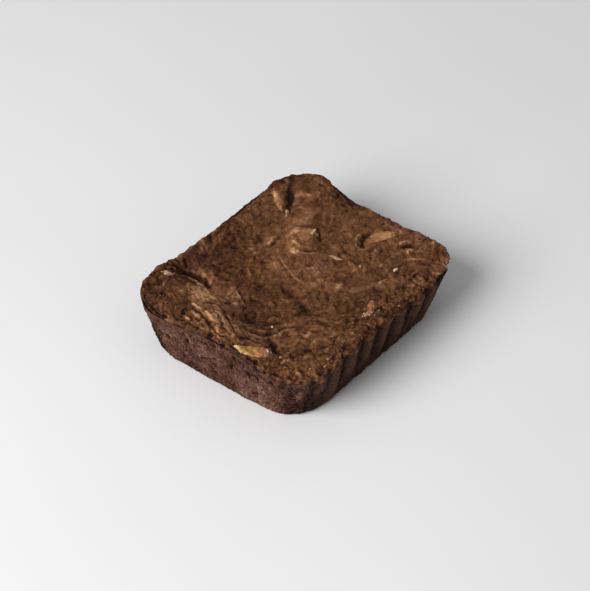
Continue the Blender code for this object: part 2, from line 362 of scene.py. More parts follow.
class Finish:
    """A material built node by node."""

    def __init__(self, name, roughness, specular):
        self.material = bpy.data.materials.new(name)
        self.material.use_nodes = True
        self.nodes = self.material.node_tree.nodes
        self.shader = self.nodes["Principled BSDF"]
        self.shader.inputs["Roughness"].default_value = roughness
        self.shader.inputs["Specular IOR Level"].default_value = specular

    def add(self, kind, **settings):
        """Adds a node and sets what it can be set to."""
        node = self.nodes.new(kind)
        for setting, value in settings.items():
            setattr(node, setting, value)
        return node

    def link(self, source, target):
        """Joins an output to an input, or sets the input if the source is a plain value."""
        if hasattr(source, "links"):
            self.material.node_tree.links.new(source, target)
        else:
            target.default_value = source

    def reading(self, name):
        """A number kept in the mesh."""
        return self.add("ShaderNodeAttribute", attribute_name=name).outputs["Fac"]

    def pattern(self, size, detail=3, distortion=0, stretch=(1, 1, 1), turn=0):
        """A cloudy pattern, 0 to 1, with spots of about the size given."""
        spot = self.add("ShaderNodeTexCoord")
        place = self.add("ShaderNodeMapping")
        place.inputs["Rotation"].default_value = (0, 0, math.radians(turn))
        place.inputs["Scale"].default_value = stretch
        cloud = self.add("ShaderNodeTexNoise")
        cloud.inputs["Scale"].default_value = 1 / size
        cloud.inputs["Detail"].default_value = detail
        cloud.inputs["Distortion"].default_value = distortion
        self.link(spot.outputs["Object"], place.inputs["Vector"])
        self.link(place.outputs["Vector"], cloud.inputs["Vector"])
        return cloud.outputs["Fac"]

    def ramp(self, factor, places, colours):
        """Turns a number into a colour; each place from 0 to 1 has its own colour, as paint takes it."""
        node = self.add("ShaderNodeValToRGB")
        band = node.color_ramp
        while len(band.elements) < len(colours):
            band.elements.new(0.5)
        for element, place, colour in zip(band.elements, places, colours):
            element.position = place
            element.color = paint(*colour)
        self.link(factor, node.inputs["Fac"])
        return node.outputs["Color"]

    def spread(self, factor, low, high, to_low=0, to_high=1):
        """Stretches a number from one range to another."""
        node = self.add("ShaderNodeMapRange")
        self.link(factor, node.inputs["Value"])
        for name, value in (("From Min", low), ("From Max", high), ("To Min", to_low), ("To Max", to_high)):
            node.inputs[name].default_value = value
        return node.outputs["Result"]

    def mix(self, factor, first, second, blend="MIX"):
        """Mixes two colours."""
        node = self.add("ShaderNodeMix", data_type="RGBA", blend_type=blend)
        self.link(factor, node.inputs["Factor"])
        self.link(first, node.inputs["A"])
        self.link(second, node.inputs["B"])
        return [output for output in node.outputs if output.type == "RGBA"][0]

    def sum_of(self, first, second):
        """Adds two numbers."""
        node = self.add("ShaderNodeMath", operation="ADD")
        self.link(first, node.inputs[0])
        self.link(second, node.inputs[1])
        return node.outputs["Value"]

    def bump(self, factor, depth, strength):
        """Raises a fine pattern on the surface."""
        node = self.add("ShaderNodeBump")
        node.inputs["Distance"].default_value = depth
        node.inputs["Strength"].default_value = strength
        self.link(factor, node.inputs["Height"])
        self.link(node.outputs["Normal"], self.shader.inputs["Normal"])

    def colour(self, colour):
        """Gives the material its colour."""
        self.link(colour, self.shader.inputs["Base Color"])


crumb_finish = Finish("chocolate_crumb", 0.8, 0.05)
# The wall's colour follows its stored tone, which holds painted shade in hollows and low on the wall
crumb_shade_and_tone = crumb_finish.spread(crumb_finish.reading("relief"), -1.0, 1.0)
crumb_fleck = crumb_finish.pattern(0.0006, 4)
crumb_mix = crumb_finish.sum_of(crumb_shade_and_tone, crumb_finish.spread(crumb_fleck, 0.3, 0.7, -0.32, 0.32))
torn_colour = crumb_finish.ramp(
    crumb_mix,
    (0.08, 0.30, 0.55, 0.85, 1.00),
    [(26, 13, 10), (54, 32, 24), (75, 48, 38), (99, 69, 58), (126, 97, 85)],
)
moulded_colour = crumb_finish.ramp(
    crumb_mix, (0.08, 0.40, 0.90), [(28, 14, 10), (56, 35, 27), (88, 61, 50)]
)
crumb_finish.colour(crumb_finish.mix(crumb_finish.reading("torn"), moulded_colour, torn_colour))
crumb_finish.bump(crumb_fleck, 0.00025, 0.7)
crumb.data.materials.append(crumb_finish.material)

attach(crumb, "root")
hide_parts("brownie")


# ---------------------------------------------------------------------------------------------------------
# THE CRUST
# The batter's surface dries in the oven to a thin, papery skin, which lifts, sinks and wrinkles as the
# cake falls. It curls over the rim and ends in a ragged edge on the walls; round the nuts it folds up.

# Sizes of the crust, in metres, and counts of mesh steps
CRUST_COLUMNS = 306
CRUST_ROWS = 264
SKIRT_RINGS = 12
SKIRT_STEP = 0.0004
CRUST_SMOOTHING = 24
LOWEST_TOP = 0.010
NUT_MARGIN = 6
FILL_PASSES = 400
FLUTE_CREST = 0.0005
UNDERSIDE_HEIGHT = 0.0112
UNDERSIDE_SIZE = 0.93


def rim_distance(across, along):
    """How far round the rim, on the walk, a point of the unit square's edge lies."""
    walk = np.empty_like(across)
    right = across >= 1 - 1e-6
    far = (along >= 1 - 1e-6) & ~right
    left = (across <= -1 + 1e-6) & ~far & ~right
    near = ~(right | far | left)
    walk[right] = along[right] * end_walk / 2
    walk[far] = end_walk / 2 + (1 - across[far]) * side_walk / 2
    walk[left] = end_walk / 2 + side_walk + (1 - along[left]) * end_walk / 2
    walk[near] = end_walk * 1.5 + side_walk + (1 + across[near]) * side_walk / 2
    return walk % whole_walk


deselect()
bpy.ops.mesh.primitive_grid_add(x_subdivisions=CRUST_COLUMNS, y_subdivisions=CRUST_ROWS, size=2)
crust = bpy.context.object
crust.name = "brownie_crust"
square = points_of(crust)[:, :2]
net_size = np.array([CRUST_COLUMNS, CRUST_ROWS])
rings = np.round(((1 - np.abs(square)) * net_size / 2).min(axis=1))
ring_size = 1 - 2 * rings[:, None] / net_size
centre_spot = rings >= net_size.min() / 2
on_square = np.clip(square / np.maximum(ring_size, 1e-6), -1, 1)
on_square[centre_spot] = (1, 0)
crust_walk = rim_distance(on_square[:, 0], on_square[:, 1])
rim_point, rim_out = walk_outline(crust_walk)
rim_inset = np.interp(crust_walk, walked, wall_insets, period=whole_walk)
rim_inner = rim_point - rim_out * (rim_inset + RIM_ROUNDING)[:, None]
inner_half = np.array([half_length - RIM_ROUNDING, half_width - RIM_ROUNDING])
inner_square = square / (1 - 2 * SKIRT_RINGS / net_size)
nearness = np.clip(np.abs(inner_square).max(axis=1), 0, 1) ** 5
crust_plan = inner_square * inner_half + nearness[:, None] * (rim_inner - on_square * inner_half)
down_skirt = np.clip(SKIRT_RINGS - rings, 0, None) * SKIRT_STEP
skirt = down_skirt > 0
crust_plan[skirt] = rim_inner[skirt]

solid_nuts = [rays_onto(node) for name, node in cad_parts.items() if name.startswith("nut")]
crust_top = np.array([solid_top(x, y) or 0 for x, y in crust_plan])
over_nut = np.zeros(len(crust_top), dtype=bool)
for index, (x, y) in enumerate(crust_plan):
    above = Vector((x, y, cake_high.z + REACH))
    over_nut[index] = any(tree.ray_cast(above, DOWN)[0] for tree in solid_nuts)
grid_shape = (CRUST_ROWS + 1, CRUST_COLUMNS + 1)


def close_below(piece, rim, drop, size):
    """Draws the rim of an open surface down and in, and closes it with one face; stays in edit mode."""
    select_in_mesh(piece, "vertices", rim)
    bpy.ops.mesh.extrude_edges_move(TRANSFORM_OT_translate={"value": (0, 0, -drop)})
    bpy.ops.transform.resize(value=size)
    bpy.ops.mesh.edge_face_add()


def soften(field, passes):
    """Smooths a field on the crust's net; each pass mixes every point with its neighbours."""
    for _ in range(passes):
        field = np.pad(field, 1, mode="edge")
        field = (field[:-2, 1:-1] + 2 * field[1:-1, 1:-1] + field[2:, 1:-1]) / 4
        field = np.pad(field, ((0, 0), (1, 1)), mode="edge")
        field = (field[:, :-2] + 2 * field[:, 1:-1] + field[:, 2:]) / 4
    return field


hidden = over_nut | (crust_top < LOWEST_TOP)
hidden = soften(hidden.reshape(grid_shape).astype(float), NUT_MARGIN) > 0.02
heights = crust_top.reshape(grid_shape)
heights[hidden] = np.median(heights)
for _ in range(FILL_PASSES):
    heights = np.where(hidden, soften(heights, 1), heights)
heights = soften(heights, CRUST_SMOOTHING)
ring_now = rings.reshape(grid_shape) == SKIRT_RINGS
ring_walk = crust_walk.reshape(grid_shape)[ring_now]
order = np.argsort(ring_walk)
skirt_heights = np.interp(crust_walk, ring_walk[order], heights[ring_now][order], period=whole_walk)
turn_over = np.clip(down_skirt / RIM_ROUNDING, 0, math.pi / 2)
below_turn = down_skirt - RIM_ROUNDING * turn_over
skirt_heights -= RIM_ROUNDING * (1 - np.cos(turn_over))
crust_height = np.where(skirt, skirt_heights - below_turn, heights.ravel())
crust_plan += rim_out * (RIM_ROUNDING * np.sin(turn_over) * skirt)[:, None]
crust_base = np.column_stack([crust_plan, crust_height])
unrolled = crust_plan + rim_out * (down_skirt - RIM_ROUNDING * np.sin(turn_over))[:, None] * skirt[:, None]
spots = unrolled / MM
place_points(crust, crust_base)


def turned(places, angle):
    """How far places lie along a direction of the plan, and how far across it."""
    along = places[:, 0] * math.cos(angle) + places[:, 1] * math.sin(angle)
    across = places[:, 1] * math.cos(angle) - places[:, 0] * math.sin(angle)
    return along, across


def stretched(places, size, stretch, turn):
    """Places counted in blobs of the size given, which are longer by stretch along turn."""
    along, across = turned(places, math.radians(turn))
    return zip((along / (size * stretch)).tolist(), (across / size).tolist())


def noise_at(places, size, seed, stretch=1, turn=0):
    """A smooth random field, about -1 to 1, with blobs of the size given."""
    return np.array([noise.noise((a, b, seed)) for a, b in stretched(places, size, stretch, turn)])


def from_lump(places, size, seed):
    """How far each place is from the middle of the nearest of many lumps about as wide as size."""
    return np.array([noise.voronoi((x, y, seed))[0][0] for x, y in (places / size).tolist()])


def skin_plates(places, size, seed, stretch, turn):
    """Plates of skin about as wide as size: for each spot its plate's own tone and tint, 0 to 1, how far it
    lies from the plate's middle along the plate's own slope, and how close it is to the plate's edge, 0 to 1.
    """
    results = []
    for a, b in stretched(places, size, stretch, turn):
        distances, middles = noise.voronoi((a, b, seed))
        middle = middles[0]
        plate_tone = 0.5 + 0.5 * noise.cell(middle * 2.11)
        plate_tint = 0.5 + 0.5 * noise.cell(middle * 3.17)
        lean = math.pi * noise.cell(middle * 1.37)
        slope = (a - middle.x) * math.cos(lean) + (b - middle.y) * math.sin(lean)
        edge = math.exp(-(((distances[1] - distances[0]) / 0.16) ** 2))
        results.append((plate_tone, plate_tint, slope, edge))
    return np.array(results).T


def bulge(x, y, half_length, half_width, turn, steepness=1):
    """A soft mound, 1 in its middle; the steeper, the flatter its top."""
    along, across = turned(wandering - (x, y), math.radians(turn))
    return np.exp(-0.5 * ((along / half_length) ** 2 + (across / half_width) ** 2) ** steepness)


def strongest(bulges, steepness):
    """The strongest of several mounds; each is given as bulge takes it, then how strong it is."""
    return np.maximum.reduce([amount * bulge(*mound, steepness) for *mound, amount in bulges])


def curled(value):
    """A lip to the left of a line and a hollow to its right."""
    return bell(value - 0.8) - bell(value + 0.8)


def smooth_line(points, parts=5):
    """A curve through a few points, as a list of closer ones."""
    points = np.array(points, dtype=float)
    padded = np.vstack([2 * points[0] - points[1], points, 2 * points[-1] - points[-2]])
    line = []
    for a, b, c, d in zip(padded, padded[1:], padded[2:], padded[3:]):
        squared = 2 * a - 5 * b + 4 * c - d
        cubed = 3 * b - a - 3 * c + d
        for t in np.arange(parts) / parts:
            line.append(0.5 * (2 * b + (c - a) * t + squared * t**2 + cubed * t**3))
    return np.array(line + [points[-1]])


def along_line(points, reach):
    """Signed distance to a curve (left of it is positive) and the share of the way along it."""
    line = smooth_line(points)
    best = np.full(len(spots), reach, dtype=float)
    side = best.copy()
    share = np.zeros(len(spots))
    low = line.min(axis=0) - reach
    high = line.max(axis=0) + reach
    close = np.nonzero(((frayed > low) & (frayed < high)).all(axis=1))[0]
    near = frayed[close]
    for i in range(len(line) - 1):
        step = line[i + 1] - line[i]
        gap = near - line[i]
        t = np.clip(gap @ step / (step @ step), 0, 1)
        off = gap - t[:, None] * step
        distance = np.hypot(off[:, 0], off[:, 1])
        better = distance < best[close]
        chosen = close[better]
        best[chosen] = distance[better]
        leftward = step[0] * gap[better, 1] - step[1] * gap[better, 0]
        side[chosen] = distance[better] * np.where(leftward >= 0, 1, -1)
        share[chosen] = (i + t[better]) / (len(line) - 1)
    return side, share


# Folds and cracks of the skin, in millimetres: width, height (a crack's is below zero), and the points that
# the line runs through. A curl stands up on its left and sinks on its right.
FOLDS = [
    (1, -1.3, (-22.6, 36), (-20.6, 32.4), (-20, 29), (-20, 25.6), (-21, 24)),
    (0.7, 0.5, (-28.5, 36.5), (-25.2, 34.4), (-22.8, 32.2), (-21.6, 29.2), (-20.9, 25.6)),
    (0.35, -0.5, (-27.6, 31), (-24.7, 29.2), (-22.2, 27.7), (-21.4, 25.1)),
    (0.6, 0.3, (-16.2, 25.6), (-16.6, 23.1), (-15.4, 21), (-13.3, 19.4)),
    (0.8, -0.3, (-14.8, 26), (-14.6, 23.6), (-13, 21.6)),
    (0.4, -0.5, (-21.6, 26.2), (-19.4, 24.6), (-17, 24.8), (-15.6, 27)),
    (0.8, 0.6, (-29.6, 1.5), (-31, -4.6), (-29.6, -8.8), (-25.3, -11.3), (-20.4, -11.6)),
    (0.8, 0.5, (-34.2, -1.6), (-35.2, -7), (-33.3, -11), (-29.4, -13.7), (-24, -14.2)),
    (0.7, -0.6, (-32.2, -0.4), (-33.2, -6), (-31.4, -10.2), (-27.4, -12.6), (-22.4, -13)),
    (0.6, -0.5, (-20.6, 8), (-24.8, 3.7), (-27.9, -2.3)),
    (1.4, -0.5, (-3.6, 5.4), (-5.3, -0.7), (-7.7, -6.8), (-9.7, -11.4)),
    (0.55, -0.9, (-35.1, 21.2), (-37.1, 17.6), (-37.8, 14.4), (-39.8, 10.3), (-42.8, 5),
     (-44.4, 1), (-44.6, -4.9)),
    (0.45, 0.6, (-34.7, 20.4), (-35.6, 17.9), (-35.7, 16), (-33.9, 15)),
    (0.5, 0.6, (-36.2, 12.6), (-37.5, 9.8), (-39.8, 6.2)),
    (0.6, -0.6, (-32.4, 17.4), (-29.4, 16.9), (-27.5, 13.8), (-29, 10)),
    (0.35, -0.7, (-28.4, 10.5), (-33.3, 4.6), (-37.9, -1.2), (-39.6, -4.8)),
    (0.5, 0.4, (-31.6, 9.6), (-35.6, 5), (-39.6, -0.4), (-41, -4.4)),
    (0.3, -0.4, (-34, 9), (-37.6, 4.6), (-40.8, 0.6), (-42.2, -3.6)),
    (0.45, 0.6, (-39, 17.4), (-39.9, 14.8), (-41.4, 11)),
    (0.45, 0.6, (-42.9, 17.8), (-43.6, 14.8), (-44.4, 12)),
    (0.5, -0.8, (-38.4, 20.2), (-41.2, 19.4), (-44, 17.8)),
    (0.4, -0.7, (-44.9, 15), (-45.5, 11), (-45.7, 7.2)),
    (0.35, -0.6, (-41.4, 14.4), (-42.6, 9.8), (-44.8, 6.4)),
    (0.3, -0.4, (-29.6, 24.4), (-31, 21.4), (-31.4, 18.6)),
    (0.3, -0.4, (-25, 25.6), (-23.8, 21), (-24.6, 16), (-27, 11.4)),
    (0.4, -0.6, (-45.2, 31.5), (-46.6, 26), (-46.9, 19.6)),
    (0.5, 0.5, (-46.8, 31.5), (-47.8, 27), (-47.8, 20.3)),
    (0.5, -0.7, (-40.6, -6), (-38.3, -9), (-37.2, -12.4), (-36, -15.4)),
    (1.1, -1.2, (-33.2, -15.2), (-34.3, -17.3), (-36.4, -19.4)),
    (0.35, -0.5, (-44.6, -23.4), (-42.9, -25.1)),
    (0.35, -0.6, (-41.2, -26.2), (-38.6, -29)),
    (0.4, -0.7, (1.2, -34.6), (4.5, -34.4), (7.6, -34.3), (12.9, -30.9)),
    (0.4, -0.7, (16.4, -31.6), (13.3, -35.2)),
    (0.4, -0.5, (-34.2, -38.4), (-30.4, -38.2), (-28, -38.7)),
    (0.6, 0.6, (27.9, -7.2), (29.6, -4), (34.4, -2.2), (38.4, -3.6)),
    (0.5, -0.8, (38.4, -4.8), (35.1, -4), (31.6, -5.2), (30, -7.4)),
    (0.5, 0.5, (27.9, -7.4), (29.3, -8.9), (31.8, -9.6)),
    (0.6, 0.6, (37.9, -16.4), (40.3, -17.8), (41.9, -19.8)),
    (0.9, -1, (37.6, -19), (39.5, -20.2), (40.1, -22.4)),
    (0.6, 0.6, (35.5, -23.9), (37.6, -22.4), (38.6, -24.4)),
    (0.6, 0.5, (38.4, -24.6), (40.1, -28.3)),
    (0.6, 0.6, (33, -24.6), (34.8, -27.7), (37, -30.4)),
    (0.5, 0.4, (29.4, 25.3), (31, 23.1), (31.8, 20.9)),
    (0.6, 0.5, (38, 23.4), (41, 20.4), (41.7, 18.4)),
    (0.5, 0.4, (35, 29), (36.4, 27.6), (36.9, 25.1), (37.4, 21.2)),
    (0.7, 0.5, (15.2, 6), (13, 9.4), (13.8, 14)),
    (0.4, -0.6, (19.4, 18.8), (21.9, 17.4), (24, 15.4), (25.8, 13.4)),
    (0.7, -0.7, (27, 12.6), (24.4, 9), (21.2, 6.4)),
    (0.7, 0.6, (8, 22.4), (9.2, 21), (11, 20.6), (13.2, 20.4)),
    (0.6, -0.7, (7.2, 21.4), (8.8, 19.6), (10.8, 19), (13.4, 19)),
    (0.6, 0.4, (17.7, 23.7), (16.5, 21.3), (18.1, 19.6), (20.6, 19.8)),
    (0.5, 0.5, (37.7, 13.1), (34.5, 10.6), (31.3, 8.8)),
    (0.5, 0.4, (34.9, 14.5), (29.8, 11.2)),
    (0.5, 0.4, (-5.9, 23.6), (-6.2, 20.7), (-4.8, 18.3)),
    (0.5, 0.4, (-3.4, 17.8), (-3.4, 14.7), (-4.4, 11.7)),
    (0.5, 0.4, (21.3, -7.5), (18.4, -10.3)),
    (0.9, -1, (36.8, 33), (33.2, 29.6), (29.6, 27.6)),
]
CURLS = [
    (0.5, 0.45, (-20.3, 7.6), (-18, 11.3), (-15.1, 15.9)),
    (0.4, 0.5, (6, 15), (5, 12.2), (3.2, 8.2), (1.6, 4.2), (0.8, 0), (0.4, -4)),
    (0.5, 0.6, (16.6, 2.8), (13.8, 4.6), (12.2, 6.6), (11.2, 9.4)),
]

# Round holes where a bubble burst, in millimetres: place, width and depth
BURST_BUBBLES = [
    (43.5, 23.4, 0.55, 1), (41.8, 9.7, 0.45, 0.7), (44.2, -6.1, 0.6, 1), (45, -22, 0.5, 0.9),
    (38.2, -32.9, 0.45, 0.7), (41.3, -28.1, 0.4, 0.6), (16.8, -32, 0.45, 0.7), (-27.5, 6.6, 0.9, 0.9),
    (-38.2, 14, 0.6, 0.8), (-43.6, 18.4, 0.5, 0.8), (-47.6, -23.4, 0.7, 1.1), (-46.4, 24, 0.6, 0.8),
]

# Patches of the skin's tone and colour, in millimetres: middle, half length, half width, turn, and how much.
# Tone is lighter above zero and darker below; golden and rosy are shares of those colours. Some mark where
# the skin baked lighter, darker, golden or rosy. Many darker ones lie along cracks and hollows and are
# painted shade there, and the dark, rosy band in the hollow under the far-left rim is painted shadow.
BAKED_AND_SHADED = {
    "tone": [
        (-24.5, 26, 4.6, 3.4, 45, 1), (-27, 22.5, 4.8, 2.6, -62, 0.8), (-35.5, 7.5, 3.4, 2, 48, 0.6),
        (-31, 21, 3.6, 3, 45, 0.9), (-35.4, 17.2, 2.2, 0.6, 80, 2), (-37.5, 9.8, 3, 0.7, 57, 1.8),
        (-37, 6.4, 4.4, 2.2, 48, 1.1), (-34, 0, 5, 3.6, 45, 0.8), (-43.6, 15, 2.4, 0.5, 78, 1.3),
        (-40.2, 14, 2.2, 0.5, 74, 1.2), (-29.5, 12, 3, 2.4, 30, 0.8), (-21.6, 13.5, 3.6, 0.5, 88, 1),
        (-18, 28, 2.8, 1.8, 100, 0.6), (10, 21.8, 2.4, 1.2, 5, 1.5), (10.3, 9.5, 1.5, 0.8, 90, 1.7),
        (15, 11, 3.2, 2.2, 100, 0.9), (18, 16.2, 2.2, 1.2, 0, 1.2), (27, 18.7, 4.2, 2.6, -10, 0.8),
        (31, 34, 4.4, 1, 62, 1.5), (35.5, 26.5, 2.4, 0.6, -70, 0.9), (30.3, 23.8, 1.8, 0.6, -60, 0.8),
        (12, -0.5, 5, 3.4, 0, 0.9), (9, -8, 4.4, 4, 60, 0.7), (3, -5.3, 1.6, 1, 60, 1.2),
        (7.5, -13.3, 1.3, 1.1, 0, 1.1), (39.6, -17.8, 1.2, 0.9, 0, 1.4), (34.8, -28.3, 2.6, 0.6, -60, 0.9),
        (37.6, -23.2, 1.4, 0.6, 15, 1), (19, -28.5, 3, 2.4, 0, 0.6), (25.5, -16.5, 2, 2.4, 0, 0.7),
        (-20, -12, 3, 1.2, 40, 0.7), (30, 0, 3, 2, 30, 0.6), (-23.5, 36.5, 3, 1.2, -40, -1.4),
        (-10, 37, 7, 2.6, 0, 0.3), (-41, 27, 6, 8, 0, -0.3), (-38, 34, 4, 4, 0, -0.7),
        (-35, 23.5, 3.4, 1, 35, -1.6), (-41, 19, 3.5, 0.8, 20, -1.2), (-26.6, 0, 6.4, 2, -75, -1.3),
        (-20, 5, 5, 4, 30, -0.7), (-10, 10, 1.4, 1.1, 0, -1.7), (-13, 7.5, 3, 1.8, 30, -0.8),
        (-7.5, -6, 7, 1.2, 58, -1.4), (-10.5, -12.5, 3, 1.2, 60, -0.8), (7.5, 24, 1.2, 0.9, 0, -1.5),
        (10.3, 19.2, 2.2, 0.7, 5, -1.3), (-1.2, 23, 1, 0.7, 0, -1.3), (33.5, 31, 4.6, 1.4, 35, -2),
        (29.3, 27.3, 1.6, 0.8, 35, -1.2), (38, 39, 6, 3, 0, -0.8), (40.5, 30, 3.5, 4, 0, -0.7),
        (26, 11.6, 6.5, 1.7, 35, -1.1), (31, 10.4, 4, 3, 35, -0.4), (39, -20.4, 1.5, 0.7, 0, -2.2),
        (33.8, -5.3, 2.6, 0.6, 10, -1.6), (-34.6, -17, 2.4, 0.7, 45, -2.4), (-39, -8, 1.7, 1, 0, -1.5),
        (-31, -29, 5, 4, 30, -0.7), (-7.5, -31, 4, 3, 20, -0.9), (0, -25, 5, 3.4, 0, -0.5),
        (10.5, -27, 3, 2.2, 0, -0.6), (2.4, -34.8, 3, 0.5, 0, -2.2), (9.5, -33.8, 3, 0.5, 30, -1.5),
        (18.5, -33, 2, 0.5, -5, -1.5), (28.5, -37.5, 1.7, 1, 20, -1.2), (-5, 31, 7, 6, 0, -0.5),
        (-12, -10, 3, 4, 0, -0.6), (-4.5, 3.5, 2.4, 1.6, 50, -0.8), (-6, 30, 13, 7, 0, -0.8),
        (-8, 16, 5, 5, 0, -0.9), (-24.5, 21, 4, 5, 0, 1), (30, 10, 5, 5, 0, 1), (19.5, 18, 4, 3.4, 30, 0.6),
        (-38, -6, 2.2, 5, 0, 0.6), (-43, -0.6, 5, 1, 87, 0.8), (-36, -10, 3.5, 2.5, 60, 0.5),
        (-32.4, 20, 2.4, 1.4, 90, 0.7), (-20, 14, 4.4, 1.3, 58, 0.6), (4.5, 12, 3, 5, 0, 0.8),
        (10, 18.5, 3, 3, 0, 0.9), (21, -10, 4, 3, 0, 0.6), (-26, -9, 5, 4, 0, -0.6),
        (2, -34, 3, 4, 0, -0.5), (35, -39.5, 5, 2, 0, 1.2), (44.5, -9, 2, 5, 0, 0.8),
        (-18, 37.5, 6, 3, 0, -0.4), (22, 40.5, 6, 1.6, 0, 0.8), (-19, 15.5, 2.5, 3, 0, 0.8),
        (-31, 25, 3, 3, 0, 0.8),
    ],
    "golden": [
        (-35, 13, 11, 4.4, 65, 0.9), (-26.5, 23, 6.5, 4.5, 60, 0.9), (-38, 3, 7, 4, 50, 0.8),
        (-33.6, 20.4, 1.8, 1.3, 60, 1), (-18, 28, 3, 2, 100, 0.9), (24, 20.8, 3.6, 0.9, 40, 1),
        (27, 18.7, 4.4, 3, -10, 0.9), (17, 12.5, 6.4, 5.4, 30, 1), (-41, -30, 6, 8, 0, 0.6),
        (-18, -24, 7, 5, 0, 0.6), (38, -10, 7, 3.2, -30, 0.6), (8, -37, 5, 2.6, 0, 0.6),
        (31, 34, 5, 1.4, 62, 0.9), (4, -6, 3, 3, 0, 0.6), (-44.5, -2, 2.2, 8, 0, 0.7),
    ],
    "rosy": [
        (12, 0, 6, 4, 0, 0.9), (-14, 13, 3, 4, -30, 0.6), (-28, -3, 2.4, 5, 0, 0.6),
        (45.5, -10, 2.6, 4, 0, 0.9), (46, -19, 2.6, 4, 0, 0.9), (10.5, -27, 3.4, 2.6, 0, 0.7),
        (-39, -8, 2, 1.4, 0, 0.9), (-14, 37, 10, 4, 0, 0.8), (34, 31, 5, 2.2, 35, 0.8),
        (37.4, -38.8, 4, 2, 0, 0.8), (-45, 28, 4.5, 7, 0, 0.8), (-35.6, 16.8, 2.4, 1, 80, 0.9),
    ],
}

# Where the skin breaks into crumbs and where it is sleek, in millimetres, as above
CRUMBLY = [(-40, -31, 9, 12, 0, 1), (-22, -37, 20, 5.5, 0, 0.9), (12, -38, 22, 4, 0, 0.8),
           (-43, 26, 6, 8, 0, 0.5), (-44, 0, 3.5, 16, 0, 0.5)]
SLEEK = [(28, 19.5, 5, 4, -50, 1), (17, 12, 6, 5, 30, 0.8), (36, 30, 7, 8, 0, 0.6)]

# Where the rim stands higher or lower, in millimetres: middle, half length, half width and height
RIM_SWELLS = [
    (20, 40.5, 8, 2.5, -1.2), (-21.5, 41, 6.5, 2.5, 1.2), (-32, 40.5, 5, 2.5, 0.3),
    (-9, 40.5, 6, 2.5, 0.6), (33.5, 41, 4, 2.5, 0.6), (45.5, 25, 3, 4, 1.3),
    (46, 14, 2.5, 4, -1.5), (47, -17, 2.5, 12, 0.6), (44, -34.5, 3.5, 3.5, 0.3),
    (39.5, -43, 5.5, 2.6, -2.2), (-48.5, 31, 2.5, 6, -0.8),
]

# The skin's colours from dark to light, and the tones, 0 to 1, that they belong to
SKIN_TONES = (0.05, 0.32, 0.52, 0.75, 0.97)
PLAIN = [(36, 17, 8), (72, 43, 24), (93, 60, 37), (116, 79, 53), (157, 118, 87)]
GOLDEN = [(42, 22, 10), (86, 52, 30), (114, 75, 46), (145, 100, 65), (190, 143, 104)]
ROSY = [(33, 17, 13), (72, 42, 30), (96, 61, 44), (122, 83, 62), (174, 130, 102)]

# Short fine wrinkles everywhere, in millimetres; they lean one way, as the batter was spread
WRINKLES = 650
WRINKLE_LENGTHS = (1.2, 4)
WRINKLE_WIDTHS = (0.28, 0.75)
WRINKLE_LEAN = math.radians(39)


def drift(size, *seeds):
    """A smooth wander of every spot in the plan, by at most about 1 each way."""
    return np.stack([noise_at(spots, size, seed) for seed in seeds], axis=1)


frayed = spots + 0.5 * drift(1.6, 29, 31)
wandering = frayed + 0.9 * drift(3.6, 33, 37)
bent = frayed + (3 * drift(12, 3, 17) + 1.2 * drift(4, 23, 27))
swells = noise_at(bent, 5, 5)
puckers = noise_at(bent, 2.3, 6, 1.4, 50)
dimples = noise_at(bent, 1.15, 14, 1.4, 45)
grain = noise_at(frayed, 0.6, 15)
plate_tone, plate_tint, plate_slope, plate_edge = skin_plates(bent, 3.4, 0, 1.35, 50)
scale_tone, scale_tint, scale_slope, scale_edge = skin_plates(bent, 1.7, 4, 1.5, 40)
fold_lines = bell(noise_at(bent, 3, 8, 1.5, 50) / 0.075) * smooth_step(0, 0.3, noise_at(spots, 5, 61))
crack_lines = bell(noise_at(bent, 3.6, 9, 1.3, 30) / 0.04) * smooth_step(0.05, 0.3, noise_at(spots, 6, 62))
beads = from_lump(bent, 1.5, 5)
granules = from_lump(frayed, 0.8, 9)
pits = from_lump(frayed, 1.9, 2)

flowing = bulge(-37.5, 5, 12, 7.5, 62, 2)
crumbly = strongest(CRUMBLY, 2) * (1 - 0.7 * flowing)
papery = 1 - 0.65 * strongest(SLEEK, 2)
relief = 0.26 * swells + 0.18 * papery * puckers
papery *= 1 - 0.5 * flowing
relief += papery * (0.12 * plate_slope + 0.08 * scale_slope - 0.05 * plate_edge - 0.03 * scale_edge)
relief += papery * (0.09 * dimples + 0.06 * grain)
relief += papery * (0.16 * fold_lines - 0.22 * crack_lines)
relief += crumbly * (0.25 * (0.45 - beads) + 0.34 * (0.4 - granules))
flow = np.abs(noise_at(bent, 1.3, 75, 3.5, 72))
flow -= 1.2 * bell(flow / 0.10)
relief += flowing * 0.20 * flow
rough_hollow = bulge(-22, 36.5, 6, 4.5, -20, 2)
relief += rough_hollow * (0.5 * noise_at(spots, 1.1, 77) + 0.4 * noise_at(spots, 2.2, 78))
pit_depth = smooth_step(0.26, 0.10, pits) * smooth_step(-0.25, 0.35, noise_at(spots, 5.5, 63))
pit_depth *= 0.35 + 0.65 * crumbly
relief -= 0.45 * pit_depth
relief += 1.1 * bulge(16.6, 11.6, 5.6, 4.6, 28, 2)
for x, y, swell_length, swell_width, height in RIM_SWELLS:
    relief += height * bulge(x, y, swell_length, swell_width, 0)
